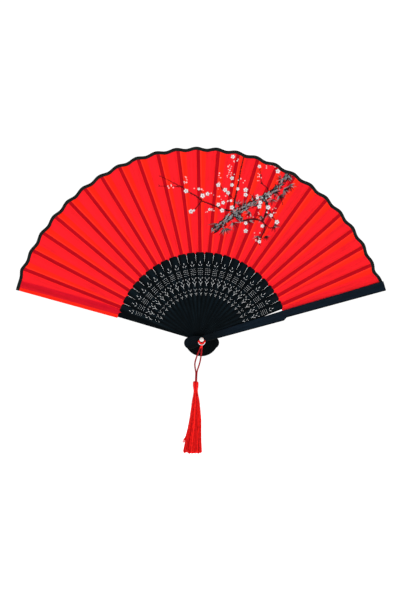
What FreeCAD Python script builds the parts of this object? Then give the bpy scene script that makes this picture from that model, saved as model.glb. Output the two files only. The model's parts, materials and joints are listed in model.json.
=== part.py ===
"""Pleated folding hand fan with a tassel, modelled fully open.

Frame, in millimetres: +X right, +Z up, and the painted front of the fan faces -Y.
The origin is on the rivet's axis, half way through the stack of sticks.
Every stick is drawn upright, its length along +Z and its pivot at the origin, and then turned
about the rivet to its place. Its direction is an angle from -X (the fan's left), clockwise.
"""

import FreeCAD, Part
import math
import os

V = FreeCAD.Vector
OUT = "parts"

# How the fan opens
STICKS = 23                     # between the two guards
STEPS = STICKS + 1              # from the rear guard to the front guard
OPEN_DEG = 147.0                # from closed to fully open
PITCH_DEG = OPEN_DEG / STEPS
FIRST_DEG = 15.45               # direction of the first glued panel, on the rear guard
GUARD_LEAD_DEG = 1.2            # a guard covers the folded leaf, so it is turned this much further

# The stack, from the rear guard at +Y to the front guard at -Y
GUARD_THICK = 2.5
STICK_THICK = 0.5
LEAF_THICK = 0.1
LAYER_GAP = 0.12
LAYER = STICK_THICK + LEAF_THICK + LAYER_GAP
STACK = 2 * GUARD_THICK + STICKS * LAYER + 2 * LEAF_THICK + LAYER_GAP
BACK_Y = STACK / 2              # outer face of the rear guard
FRONT_Y = -STACK / 2            # outer face of the front guard

# Sticks
HEAD_END = 17.3                 # the rounded head reaches this far below the rivet
HEAD_HALF = 5.7
HEAD_TOP = -7.5                 # the head's sides are straight up to here
TANG_HALF = 3.1
TANG_U = 0.5
WAIST_U = 42.0                  # from here to the flare a stick is nearly as wide all along
WAIST_HALF = 3.85
FLARE_U = 72.0
FLARE_HALF = 3.95
SHOULDER_U = 89.6               # where the wide lower part of a stick ends and its rib begins
SHOULDER_HALF = 4.62
SHOULDER_ROUND = 2.3
RIB_HALF = 1.8
RIB_END = 189.5

# Openwork of a stick, from the shoulder down: a bud, a lattice, a tulip and a small tulip.
# Middle cuts: z, length, width. Pairs: z, x, length, width, and how far they lean outwards.
MIDDLE_CUTS = [
    (79.2, 2.1, 0.26),
    (60.9, 2.0, 0.29),
    (55.9, 2.1, 0.2),
    (50.4, 1.4, 0.18),
    (45.9, 1.2, 0.16),
]
PAIRED_CUTS = [
    (76.2, 1.25, 2.0, 0.24, 40.0),
    (62.9, 1.85, 1.8, 0.19, 24.0),
    (58.1, 0.97, 3.1, 0.2, 33.0),
    (51.5, 1.2, 1.0, 0.16, 24.0),
    (47.3, 0.6, 1.7, 0.17, 33.0),
]
LATTICE_ROWS = (72.4, 70.5, 68.6, 66.7)
LATTICE_COLUMNS = (-1.75, 0.0, 1.75)
LATTICE_LONG = 1.2
LATTICE_WIDE = 0.13

# Guards
GUARD_END = 194.6
GUARD_TIP_HALF = 5.0
GUARD_HEAD_END = 18.5
GUARD_HEAD_HALF = 6.1
GUARD_HEAD_TOP = -8.0
STEP_U = 86.0                   # the step in a guard's outer edge, at the foot of the leaf
STEP_LONG = 3.5
STEP_OUTSIDE = 5.1              # from the guard's middle to its outer edge, below the step
STEP_INSIDE = 2.9               # and above it
OUTER_HALF = 3.2                # from the guard's middle to its outer edge, beside the rivet
GUARD_CHAMFER = 0.45

# Leaf
LEAF_IN = 90.0
LEAF_OUT = 197.8
FALL_FROM = 9                   # from this stick on, the leaf's outer edge comes nearer to the rivet
LEAF_FALL = 0.45                # by this much at each stick
LAST_PANEL_OUT = 193.9          # the last panel, on the front guard, stands a little further out
FOLD_OFFSET = 2.0               # a mountain fold runs this far to the left of its stick's middle

# Rivet and ring
PIN_R = 1.5
NECK_R = 0.6                    # the thin end of the rivet, which the ring hangs on
HOLE_R = 1.55
SUNK_HEAD_R = 2.7
SUNK_HEAD_THICK = 0.6
SUNK_DEPTH = 0.7
WASHER_R = 2.2
WASHER_THICK = 0.35
NECK_LONG = 2.4                 # free length of the rivet between the washer and the pearl
PEARL_R = 2.3
PEARL_FLAT = 0.5                # how much of the ball is cut off where it meets the pin
RING_R = 3.3
RING_WIRE_R = 0.45
RING_PLAY = 0.1
RING_Y = FRONT_Y - WASHER_THICK - NECK_LONG / 2
RING_Z = NECK_R + RING_PLAY + RING_WIRE_R - RING_R

# Tassel, hanging from the ring
CORD_R = 0.75
HITCH_X = -0.3
HITCH_R = 1.1
HITCH_Z = RING_Z - RING_R - RING_WIRE_R - 0.2 - HITCH_R
# Points of each strand's route: x, y from the ring's plane, and z
CORD_ROUTES = {
    "tassel_cord_left": [
        (-1.5, 0.0, -8.8), (-3.1, 0.0, -12.5), (-5.3, 0.0, -18.0), (-7.1, -0.1, -23.9),
        (-6.8, -0.35, -28.9), (-5.8, -0.62, -33.0), (-6.0, -0.65, -37.7), (-6.15, -0.65, -42.2),
    ],
    "tassel_cord_right": [
        (0.15, 0.0, -8.8), (-0.25, 0.0, -12.9), (-0.9, 0.0, -18.6), (-2.0, 0.1, -24.1),
        (-3.5, 0.35, -28.6), (-4.85, 0.62, -32.6), (-5.15, 0.65, -37.4), (-5.3, 0.65, -42.2),
    ],
}
TASSEL_X = -6.1
CAP_TOP = -42.0
CAP_R = 2.85
CAP_LONG = 7.0
BINDING_R = 2.05
BINDING_LONG = 4.0
# Sections of the skirt: z, x of its left side, x of its right side, half its depth
SKIRT_SECTIONS = [
    (-53.0, -8.3, -4.0, 2.1),
    (-62.0, -10.3, -2.5, 3.0),
    (-80.0, -13.2, -0.3, 3.8),
    (-116.9, -20.7, 0.2, 4.6),
]


def corner(before, point, after, radius):
    """Where an arc of that radius starts, its middle and its end, at a corner of an outline."""
    to_before = (before - point).normalize()
    to_after = (after - point).normalize()
    half = to_before.getAngle(to_after) / 2
    reach = radius / math.tan(half)
    start = point + to_before * reach
    end = point + to_after * reach
    inward = (to_before + to_after).normalize()
    middle = point + inward * (radius / math.sin(half) - radius)
    return start, middle, end


def outline(corners):
    """A closed wire through (x, z, radius) corners, each rounded by its radius."""
    points = [V(x, 0, z) for x, z, _ in corners]
    count = len(points)
    arcs = [
        corner(points[i - 1], points[i], points[(i + 1) % count], corners[i][2])
        for i in range(count)
    ]
    edges = []
    for i, (start, middle, end) in enumerate(arcs):
        edges.append(Part.Arc(start, middle, end).toShape())
        edges.append(Part.LineSegment(end, arcs[(i + 1) % count][0]).toShape())
    return Part.Wire(edges)


def plate(wire, back_y, thick):
    """A flat plate of that outline, from back_y towards the front."""
    face = Part.Face(wire)
    face.translate(V(0, back_y, 0))
    return face.extrude(V(0, -thick, 0))


def disc(radius, back_y, thick, x=0.0, z=0.0):
    """A round plate, from back_y towards the front."""
    return Part.makeCylinder(radius, thick, V(x, back_y, z), V(0, -1, 0))


def turned(shape, direction_deg):
    """An upright piece, turned about the rivet to its direction."""
    shape = shape.copy()
    shape.rotate(V(0, 0, 0), V(0, 1, 0), direction_deg - 90.0)
    return shape


def direction(k):
    """The direction of stick k; 0 is the rear guard's panel and STEPS is the front guard's."""
    return FIRST_DEG + k * PITCH_DEG


def stick_back(k):
    """The y of the back of stick k."""
    return BACK_Y - GUARD_THICK - LEAF_THICK - LAYER_GAP - (k - 1) * LAYER


def slot(x, z, length, width, lean_deg, y, thick):
    """A cutter with round ends, for the openwork; it leans from upright towards +X."""
    half = width / 2
    run = length / 2 - half
    wire = Part.Wire([
        Part.LineSegment(V(-half, 0, -run), V(-half, 0, run)).toShape(),
        Part.Arc(V(-half, 0, run), V(0, 0, run + half), V(half, 0, run)).toShape(),
        Part.LineSegment(V(half, 0, run), V(half, 0, -run)).toShape(),
        Part.Arc(V(half, 0, -run), V(0, 0, -run - half), V(-half, 0, -run)).toShape(),
    ])
    cutter = plate(wire, y, thick)
    cutter.rotate(V(0, 0, 0), V(0, 1, 0), lean_deg)
    cutter.translate(V(x, 0, z))
    return cutter


def openwork(y, thick):
    """The pierced pattern of one stick."""
    cutters = [slot(0.0, z, length, width, 0.0, y, thick) for z, length, width in MIDDLE_CUTS]
    for z, x, length, width, lean in PAIRED_CUTS:
        for side in (-1, 1):
            cutters.append(slot(side * x, z, length, width, side * lean, y, thick))
    for z in LATTICE_ROWS:
        for x in LATTICE_COLUMNS:
            cutters.append(slot(x, z, LATTICE_LONG, LATTICE_WIDE, 90.0, y, thick))
    return cutters


def stick(k):
    """One stick: a round head, a pierced lower part with shoulders, and a rib under the leaf."""
    right = [
        (HEAD_HALF, -HEAD_END, HEAD_HALF - 0.1),
        (HEAD_HALF, HEAD_TOP, 4.0),
        (TANG_HALF, TANG_U, 6.0),
        (WAIST_HALF, WAIST_U, 60.0),
        (FLARE_HALF, FLARE_U, 60.0),
        (SHOULDER_HALF, SHOULDER_U, SHOULDER_ROUND),
        (RIB_HALF, SHOULDER_U, 0.4),
        (RIB_HALF, RIB_END, 0.8),
    ]
    left = [(-x, z, radius) for x, z, radius in reversed(right)]
    back = stick_back(k)
    body = plate(outline(right + left), back, STICK_THICK)
    overcut = 0.5
    cutters = openwork(back + overcut, STICK_THICK + 2 * overcut)
    cutters.append(disc(HOLE_R, back + overcut, STICK_THICK + 2 * overcut))
    return turned(body.cut(cutters), direction(k))


def guard(back_y, left_pivot, left_step, outer_y):
    """A guard: its right edge steps in at the foot of the leaf, and its outer face is chamfered."""
    right = [
        (GUARD_HEAD_HALF, -GUARD_HEAD_END, GUARD_HEAD_HALF - 0.1),
        (GUARD_HEAD_HALF, GUARD_HEAD_TOP, 4.0),
        (OUTER_HALF, TANG_U, 5.0),
        (STEP_OUTSIDE, STEP_U, 1.2),
        (STEP_INSIDE, STEP_U + STEP_LONG, 1.2),
        (GUARD_TIP_HALF, GUARD_END, 0.6),
    ]
    left = [
        (-GUARD_TIP_HALF, GUARD_END, 0.6),
        (-left_step, STEP_U + 2.0, 30.0),
        (-left_pivot, TANG_U, 5.0),
        (-GUARD_HEAD_HALF, GUARD_HEAD_TOP, 4.0),
        (-GUARD_HEAD_HALF, -GUARD_HEAD_END, GUARD_HEAD_HALF - 0.1),
    ]
    body = plate(outline(right + left), back_y, GUARD_THICK)
    rim = [e for e in body.Edges if all(abs(v.Point.y - outer_y) < 1e-6 for v in e.Vertexes)]
    return body.makeChamfer(GUARD_CHAMFER, rim)


def rear_guard():
    body = guard(BACK_Y, 2.4, 2.7, BACK_Y)
    body = body.cut(disc(PIN_R + 0.01, BACK_Y + 1.0, GUARD_THICK + 2.0))
    body = body.cut(disc(SUNK_HEAD_R + 0.05, BACK_Y + 1.0, SUNK_DEPTH + 1.0))
    return turned(body, direction(0) + GUARD_LEAD_DEG)


def front_guard():
    body = guard(FRONT_Y + GUARD_THICK, 3.6, 5.1, FRONT_Y)
    body = body.cut(disc(HOLE_R, FRONT_Y + GUARD_THICK + 1.0, GUARD_THICK + 2.0))
    return turned(body, direction(STEPS) + GUARD_LEAD_DEG)


def leaf_panel(k):
    """The flat stretch of leaf glued to stick k, as far as the next fold; half of one at the end."""
    span = PITCH_DEG if k < STEPS else PITCH_DEG / 2
    out = LEAF_OUT - LEAF_FALL * max(0, k - FALL_FROM) if k < STEPS else LAST_PANEL_OUT
    if k == 0:
        back = BACK_Y - GUARD_THICK
    elif k == STEPS:
        back = FRONT_Y + GUARD_THICK + LEAF_THICK
    else:
        back = stick_back(k) - STICK_THICK

    def at(radius, turn_deg):
        angle = math.radians(turn_deg) - math.asin(FOLD_OFFSET / radius)
        return V(radius * math.sin(angle), 0, radius * math.cos(angle))

    def arc(radius):
        return Part.Arc(at(radius, 0), at(radius, span / 2), at(radius, span)).toShape()

    wire = Part.Wire([
        arc(LEAF_IN),
        Part.LineSegment(at(LEAF_IN, span), at(out, span)).toShape(),
        arc(out),
        Part.LineSegment(at(out, 0), at(LEAF_IN, 0)).toShape(),
    ])
    return turned(plate(wire, back, LEAF_THICK), direction(k))


def rivet_pin():
    """The rivet: a wide head sunk in the rear guard, a pin through the whole stack, and a thin neck."""
    sunk_y = BACK_Y - (SUNK_DEPTH - SUNK_HEAD_THICK)
    neck_y = FRONT_Y - WASHER_THICK
    head = disc(SUNK_HEAD_R, sunk_y, SUNK_HEAD_THICK)
    pin = disc(PIN_R, sunk_y, sunk_y - neck_y)
    neck = disc(NECK_R, sunk_y, sunk_y - neck_y + NECK_LONG)
    return head.fuse([pin, neck]).removeSplitter()


def rivet_pearl():
    """The ball on the end of the rivet, flat where it is glued to the neck."""
    flat_y = FRONT_Y - WASHER_THICK - NECK_LONG
    wide = 4 * PEARL_R
    ball = Part.makeSphere(PEARL_R, V(0, flat_y - PEARL_R + PEARL_FLAT, 0))
    return ball.cut(Part.makeBox(wide, PEARL_R, wide, V(-wide / 2, flat_y, -wide / 2)))


def washer():
    body = disc(WASHER_R, FRONT_Y, WASHER_THICK)
    return body.cut(disc(PIN_R + 0.01, FRONT_Y + 1.0, WASHER_THICK + 2.0))


def tassel_ring():
    """A wire ring that hangs on the rivet's neck."""
    return Part.makeTorus(RING_R, RING_WIRE_R, V(0, RING_Y, RING_Z), V(0, 1, 0))


def cord_hitch():
    """The knot that ties both strands under the ring."""
    return Part.makeSphere(HITCH_R, V(HITCH_X, RING_Y, HITCH_Z))


def cord(name):
    """One strand: straight runs joined by tangent arcs, swept by a circle."""
    points = [V(x, RING_Y + y, z) for x, y, z in CORD_ROUTES[name]]
    edges = []
    radii = []
    last = points[0]
    for before, point, after in zip(points, points[1:], points[2:]):
        turn = (point - before).getAngle(after - point)
        radius = 0.45 * min((point - before).Length, (after - point).Length) / math.tan(turn / 2)
        start, middle, end = corner(before, point, after, radius)
        edges.append(Part.LineSegment(last, start).toShape())
        edges.append(Part.Arc(start, middle, end).toShape())
        radii.append(radius)
        last = end
    edges.append(Part.LineSegment(last, points[-1]).toShape())
    path = Part.Wire(edges)
    section = Part.Wire([Part.Circle(points[0], points[1] - points[0], CORD_R).toShape()])
    tube = path.makePipeShell([section], True, True)
    expected = math.pi * CORD_R ** 2 * path.Length
    print(name, "length", round(path.Length, 2), "radii", [round(r, 1) for r in radii],
          "volume share", round(tube.Volume / expected, 4))
    return tube


def tassel_cap():
    """The knotted cap that the cord goes into."""
    body = Part.makeCylinder(CAP_R, CAP_LONG, V(TASSEL_X, RING_Y, CAP_TOP - CAP_LONG))
    top = [e for e in body.Edges if abs(e.BoundBox.ZMin - CAP_TOP) < 1e-6 and e.Closed]
    return body.makeFillet(1.6, top)


def tassel_binding():
    """The bound neck between the cap and the skirt."""
    low = CAP_TOP - CAP_LONG - BINDING_LONG
    return Part.makeCylinder(BINDING_R, BINDING_LONG, V(TASSEL_X, RING_Y, low))


def tassel_skirt():
    """The hanging threads, as one flared solid, flatter than it is wide."""
    wires = []
    for z, left, right, deep in SKIRT_SECTIONS:
        wide = (right - left) / 2
        centre = V((left + right) / 2, RING_Y, z)
        across, along = V(1, 0, 0), V(0, 1, 0)
        if deep > wide:
            deep, wide, across, along = wide, deep, along, across
        ellipse = Part.Ellipse(centre + across * wide, centre + along * deep, centre)
        wires.append(Part.Wire([ellipse.toShape()]))
    return Part.makeLoft(wires, True, True)


def main():
    os.makedirs(OUT, exist_ok=True)
    nodes = {
        "guard_rear": rear_guard(),
        "guard_front": front_guard(),
        "rivet_pin": rivet_pin(),
        "rivet_pearl": rivet_pearl(),
        "washer_front": washer(),
        "tassel_ring": tassel_ring(),
        "cord_hitch": cord_hitch(),
        "tassel_cap": tassel_cap(),
        "tassel_binding": tassel_binding(),
        "tassel_skirt": tassel_skirt(),
    }
    for name in CORD_ROUTES:
        nodes[name] = cord(name)
    for k in range(1, STEPS):
        nodes[f"stick_{k:02d}"] = stick(k)
    for k in range(STEPS + 1):
        nodes[f"leaf_panel_{k:02d}"] = leaf_panel(k)
    for name, shape in nodes.items():
        print(name, shape.isValid(), len(shape.Solids), round(shape.Volume, 2))
        shape.exportStep(f"{OUT}/{name}.step")


main()
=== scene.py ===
"""Looks of the pleated hand fan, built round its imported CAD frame.

Everything is in metres, in the frame's own axes: +X right, +Z up, and the painted front faces -Y.
The rivet's axis is the Y axis. A place on the leaf is given by s, which counts sticks from the
rear guard (0) to the front guard (24) and is whole at each mountain fold, and by its radius.
"""

import json
import math

import bpy
import numpy as np
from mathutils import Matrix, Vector


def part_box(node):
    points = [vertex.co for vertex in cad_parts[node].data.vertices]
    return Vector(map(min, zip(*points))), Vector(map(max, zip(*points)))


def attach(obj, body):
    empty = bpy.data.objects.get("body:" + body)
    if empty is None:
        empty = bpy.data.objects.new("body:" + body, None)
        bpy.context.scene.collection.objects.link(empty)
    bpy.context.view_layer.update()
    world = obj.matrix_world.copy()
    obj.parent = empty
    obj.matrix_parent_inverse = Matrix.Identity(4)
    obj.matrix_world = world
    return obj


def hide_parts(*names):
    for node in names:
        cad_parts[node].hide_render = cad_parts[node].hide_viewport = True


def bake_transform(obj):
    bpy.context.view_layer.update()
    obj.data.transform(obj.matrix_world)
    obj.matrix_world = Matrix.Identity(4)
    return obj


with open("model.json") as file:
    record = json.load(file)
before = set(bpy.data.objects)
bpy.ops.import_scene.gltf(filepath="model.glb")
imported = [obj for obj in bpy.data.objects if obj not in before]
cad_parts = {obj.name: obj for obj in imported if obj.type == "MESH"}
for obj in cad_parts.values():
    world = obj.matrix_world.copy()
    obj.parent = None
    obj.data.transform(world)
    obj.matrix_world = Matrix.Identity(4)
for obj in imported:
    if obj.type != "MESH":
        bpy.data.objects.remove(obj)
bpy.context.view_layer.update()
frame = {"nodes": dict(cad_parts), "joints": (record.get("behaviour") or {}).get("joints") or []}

MM = 0.001

# The open fan
STEPS = 24
OPEN_DEG = next(j for j in frame["joints"] if j["name"] == "fan_fold")["range_deg"][1]
PITCH = math.radians(OPEN_DEG / STEPS)
FIRST = math.radians(15.45)          # direction of the rear guard's panel, clockwise from -X
GUARD_LEAD = math.radians(1.2)       # a guard is turned this much further than its panel
FOLD_OFFSET = 2.0 * MM               # a mountain fold runs this far to the left of its stick's middle

# The leaf
LEAF_IN = 90.0 * MM                  # widths near its inner edge are worked out at this radius
LEAF_IN_FREE = 87.2 * MM             # its inner edge, between the sticks
SHOULDER_TOP = 89.6 * MM             # the shoulders of the sticks, which it overlaps a little
SHOULDER_HALF = 4.62 * MM
SHOULDER_ROUND = 2.3 * MM
SHOULDER_OVERLAP = 0.25 * MM
EDGE_COURSE = [                      # s, and the cloth's outer radius in millimetres
    (0.0, 197.0), (0.5, 197.0), (1.0, 198.2), (2.0, 197.3), (9.0, 197.3),
    (23.4, 190.8), (24.0, 193.2), (24.5, 193.2),
]
EDGE_WAVE = 0.9 * MM                 # the outer edge peaks at mountain folds and dips at valleys
RIB_WIDTH = 3.6 * MM
CREASE_HIGHLIGHT = (4.0 * MM, 4.4 * MM, 4.6 * MM, 5.1 * MM)        # a faint painted highlight along the bend beside each rib
GUARD_SHADOW_BAND = (2.6 * MM, 4.0 * MM, 10.0 * MM, 11.5 * MM)  # painted shade where the rear guard behind the first panel blocks the light through it
RIB_FLAT = 4.5 * MM                  # the cloth lies flat on its rib for this far from the fold
VALLEY_DEPTH = 1.5 * MM              # how far a valley is set back at the outer edge
DEPTH_STEP = 0.3 * MM                # the first pleats, beside the rear guard, are flatter
NEST = 0.1 * MM                      # half a layer's gap, between the two layers of one pleat
RISER = 0.012                        # share of a pleat in which the cloth steps round its rib
CLOTH_THICK = 0.06 * MM
ROWS = 251
BACK_ROW_STEP = 25                   # the plain back has one row for this many of the front's
COLUMNS_PLAIN = 8                    # columns of the mesh in half a pleat
COLUMNS_PAINTED = 24
PAINTED = (9.0, 18.5)                # the painting lies between these values of s

# The binding tape on the outer edge
TAPE_IN = 2.8 * MM
TAPE_OUT = 0.6 * MM
TAPE_HALF = 0.16 * MM

# The front guard's outer edge: two radii, and its distance from the guard's middle at each
GUARD_BELOW = (0.0, 86 * MM, 3.2 * MM, 5.1 * MM)
GUARD_BESIDE = (89.5 * MM, 194.6 * MM, 2.9 * MM, 5.0 * MM)
GUARD_STEP = (87 * MM, 89 * MM, 3 * MM, 0.0)             # what is left of the step at the leaf's foot
STICK_EDGE = 3.6 * MM                # from a stick's middle to the edge that its neighbour leaves bare
EDGE_BEVEL = 0.1 * MM

# The tassel
CORD_DIAMETER = 1.5 * MM
RING_Y = (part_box("tassel_ring")[0].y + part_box("tassel_ring")[1].y) / 2
CORD_ROUTES = {                      # x, y in front of or behind the ring's plane, z, in millimetres
    "cord_left": [
        (-1.5, 0.0, -8.8), (-3.1, 0.0, -12.5), (-5.3, 0.0, -18.0), (-7.1, -0.1, -23.9),
        (-6.8, -0.35, -28.9), (-5.8, -0.62, -33.0), (-6.0, -0.65, -37.7), (-6.15, -0.65, -42.2),
    ],
    "cord_right": [
        (0.15, 0.0, -8.8), (-0.25, 0.0, -12.9), (-0.9, 0.0, -18.6), (-2.0, 0.1, -24.1),
        (-3.5, 0.35, -28.6), (-4.85, 0.62, -32.6), (-5.15, 0.65, -37.4), (-5.3, 0.65, -42.2),
    ],
}
SKIRT_SECTIONS = [                   # z, left x, right x, half depth, in millimetres
    (-52.0, -8.0, -4.5, 1.7),
    (-55.0, -8.3, -4.2, 2.0),
    (-59.6, -9.6, -2.9, 2.7),
    (-67.4, -11.0, -1.7, 3.2),
    (-82.5, -13.4, -0.4, 3.8),
    (-103.0, -17.5, -0.6, 4.2),
    (-115.0, -20.2, 0.0, 4.4),
]
SKIRT_LEFT, SKIRT_RIGHT = -20.9, 0.5
STRANDS = 84                         # each hangs down, turns and goes up again
STRAND_R = 0.5 * MM
CURL = [                             # a stray thread: x, y, z and radius, in millimetres
    (-14.4, 0, -92.0, 0.5), (-16.0, -0.5, -98.5, 0.5), (-17.8, -0.6, -101.4, 0.5),
    (-19.3, -0.4, -103.2, 0.5), (-18.9, -0.2, -104.9, 0.5), (-17.6, 0, -104.0, 0.5), (-16.6, 0, -99.0, 0.5),
]
# The folded threads of the cap, from the groove that the cord goes into, over the top and down to
# the neck: distance from the middle and height, in millimetres
CAP_PROFILE = [
    (0.35, -43.6), (0.9, -42.9), (1.75, -42.75), (2.35, -43.5), (2.45, -45.0),
    (2.3, -47.5), (1.95, -50.0), (1.6, -52.2), (1.45, -54.0),
]
CAP_STRANDS = 26
NECK_STRANDS = 18
NECK_TURNS = 3

# Colours, as sRGB from 0 to 255
# Painted light and shade on the two halves of a pleat, which face the light differently
RED_RIB_SIDE_LIT = (246, 32, 12)
RED_FREE_SIDE_SHADED = (234, 24, 34)
# Painted shade where a rib behind the cloth blocks the light coming through it
RED_RIB_SHADOW = (168, 0, 18)
# Painted shade where the rear guard behind the cloth blocks the light coming through it
RED_GUARD_SHADOW = (184, 2, 30)
RED_BACK = (224, 22, 22)
TAPE_BLACK = (3, 8, 7)
LACQUER = (0, 3, 5)
# Painted highlight on the lacquer
LACQUER_HIGHLIGHT = (11, 22, 28)
LACQUER_GUARD = (7, 16, 24)
# Painted shade on the front guard's outer edge, and the colour of its darker head
LACQUER_EDGE = (2, 5, 7)
TASSEL_DEEP = (182, 0, 6)
TASSEL_BRIGHT = (250, 26, 16)
CORD_DEEP = (96, 0, 10)
CORD_BRIGHT = (176, 0, 16)
INK_DARK = (14, 8, 12)
INK_GREY = (146, 152, 154)
PETAL_WHITE = (232, 230, 230)
PETAL_PINK = (226, 140, 148)
PETAL_LINE = (104, 78, 84)

# The camera looks straight at the fan's front, from far off
CAMERA_DISTANCE = 2.6
VIEW_HEIGHT = 601 * 1.024 * MM
VIEW_CENTRE = Vector((-1.2 * MM, 0, 39.8 * MM))
FLOOR_Z = -0.19
FLOOR_HALF = 3.0

# Studio light
SEEN_WHITE = 1.05                    # strength of the white that the camera sees behind the fan
SURROUND_FRONT = 0.05                # strength of the light from the side that the fan faces
SURROUND_BACK = 0.55                 # and from behind it
LIGHT_AIM = Vector((0, 0, 0.08))


def linear(colour):
    """An sRGB colour as the linear triple that shaders use."""
    share = np.array(colour, float) / 255
    return np.where(share <= 0.04045, share / 12.92, ((share + 0.055) / 1.055) ** 2.4)


def rgba(colour):
    return (*linear(colour), 1.0)


def smooth(low, high, value):
    """0 at low and before it, 1 at high and past it, with a smooth rise between."""
    share = np.clip((value - low) / (high - low), 0, 1)
    return share * share * (3 - 2 * share)


def polar(reach, angle):
    return reach * math.cos(angle), reach * math.sin(angle)


def add_mesh(name, points, faces, smooth_shading=False):
    mesh = bpy.data.meshes.new(name)
    mesh.from_pydata([tuple(p) for p in points], [], faces)
    mesh.polygons.foreach_set("use_smooth", [smooth_shading] * len(mesh.polygons))
    piece = bpy.data.objects.new(name, mesh)
    bpy.context.scene.collection.objects.link(piece)
    return piece


def grid_faces(rows, columns, closed=False):
    """Quads of a grid whose point (row, column) has the index row * columns + column."""
    across = columns if closed else columns - 1
    return [
        (r * columns + c, r * columns + (c + 1) % columns,
         (r + 1) * columns + (c + 1) % columns, (r + 1) * columns + c)
        for r in range(rows - 1)
        for c in range(across)
    ]


# ---- camera, floor and light

def add_camera():
    data = bpy.data.cameras.new("camera")
    data.sensor_width = 36
    data.lens = data.sensor_width * CAMERA_DISTANCE / VIEW_HEIGHT
    camera = bpy.data.objects.new("camera", data)
    camera.location = VIEW_CENTRE + Vector((0, -CAMERA_DISTANCE, 0))
    camera.rotation_euler = (math.radians(90), 0, 0)
    bpy.context.scene.collection.objects.link(camera)
    bpy.context.scene.camera = camera


def add_floor():
    corners = [(x * FLOOR_HALF, y * FLOOR_HALF, FLOOR_Z) for x, y in ((-1, -1), (1, -1), (1, 1), (-1, 1))]
    floor = add_mesh("floor", corners, [(0, 1, 2, 3)])
    material = new_material("floor_pale", 0.9)
    g = Graph(material)
    g.give("Base Color", rgba((250, 250, 250)))
    g.give("Emission Color", (1, 1, 1, 1))
    g.give("Emission Strength", 0.9)
    floor.data.materials.append(material)


def add_area_light(name, place, size, power):
    data = bpy.data.lights.new(name, "AREA")
    data.shape = "SQUARE"
    data.size = size
    data.energy = power
    light = bpy.data.objects.new(name, data)
    light.location = place
    light.rotation_euler = (LIGHT_AIM - Vector(place)).to_track_quat("-Z", "Y").to_euler()
    bpy.context.scene.collection.objects.link(light)


def add_light():
    """A white surround that is dimmer on the side the fan faces, and three soft boxes."""
    scene = bpy.context.scene
    scene.view_settings.view_transform = "Standard"
    world = bpy.data.worlds.new("studio")
    scene.world = world
    world.use_nodes = True
    g = Graph(world)
    direction = g.add("ShaderNodeTexCoord").outputs["Generated"]
    depth = g.add("ShaderNodeSeparateXYZ", {"Vector": direction}).outputs["Y"]
    lit = g.nodes["Background"]
    g.put(lit, "Color", (0.95, 0.97, 1.0, 1))
    g.put(lit, "Strength", g.ramp(depth, -0.9, 0.1, SURROUND_FRONT, SURROUND_BACK))
    seen = g.add("ShaderNodeBackground", {"Color": (1, 1, 1, 1), "Strength": SEEN_WHITE})
    by_camera = g.add("ShaderNodeLightPath").outputs["Is Camera Ray"]
    surround = g.add("ShaderNodeMixShader", {0: by_camera, 1: lit.outputs[0], 2: seen.outputs[0]})
    g.put(g.nodes["World Output"], "Surface", surround.outputs[0])
    add_area_light("key", (-1.0, -1.4, 1.3), 0.8, 20)
    add_area_light("fill", (1.3, -1.3, 0.4), 1.0, 10)
    add_area_light("back", (0.5, 1.5, 1.1), 0.9, 12)


# ---- materials

def new_material(name, roughness, metallic=0.0):
    material = bpy.data.materials.new(name)
    material.use_nodes = True
    g = Graph(material)
    g.give("Roughness", roughness)
    g.give("Metallic", metallic)
    return material


class Graph:
    """Short calls for adding and joining the nodes of a material or a world."""

    def __init__(self, owner):
        self.nodes = owner.node_tree.nodes
        self.links = owner.node_tree.links

    def add(self, kind, inputs=None, **settings):
        node = self.nodes.new(kind)
        for name, value in settings.items():
            setattr(node, name, value)
        for name, value in (inputs or {}).items():
            self.put(node, name, value)
        return node

    def put(self, node, name, value):
        if isinstance(value, bpy.types.NodeSocket):
            self.links.new(value, node.inputs[name])
        else:
            node.inputs[name].default_value = value

    def give(self, name, value):
        """Sets an input of the material's shader."""
        self.put(self.nodes["Principled BSDF"], name, value)

    def place(self):
        """Where a point is in the frame, in metres."""
        return self.add("ShaderNodeTexCoord").outputs["Object"]

    def vector(self, x, y, z=0.0):
        return self.add("ShaderNodeCombineXYZ", {"X": x, "Y": y, "Z": z}).outputs[0]

    def math(self, operation, a, b=0.0):
        return self.add("ShaderNodeMath", {0: a, 1: b}, operation=operation).outputs[0]

    def times(self, a, b):
        return self.math("MULTIPLY", a, b)

    def noise(self, vector, scale, detail=3.0, roughness=0.55):
        inputs = {"Vector": vector, "Scale": scale, "Detail": detail, "Roughness": roughness}
        return self.add("ShaderNodeTexNoise", inputs).outputs["Fac"]

    def ramp(self, value, low, high, out_low=0.0, out_high=1.0):
        """Goes in a straight line from out_low, at low and before it, to out_high."""
        inputs = {"Value": value, "From Min": low, "From Max": high, "To Min": out_low, "To Max": out_high}
        return self.add("ShaderNodeMapRange", inputs).outputs["Result"]

    def band(self, value, start, full, fade, end):
        """1 from full to fade, and 0 before start and past end."""
        return self.times(self.ramp(value, start, full), self.ramp(value, fade, end, 1.0, 0.0))

    def mix(self, share, a, b, blend="MIX"):
        node = self.add("ShaderNodeMix", data_type="RGBA", blend_type=blend)
        self.put(node, 0, share)
        self.put(node, 6, a)
        self.put(node, 7, b)
        return node.outputs[2]

    def bump(self, height, strength, distance):
        inputs = {"Height": height, "Strength": strength, "Distance": distance}
        self.give("Normal", self.add("ShaderNodeBump", inputs).outputs["Normal"])


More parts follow.
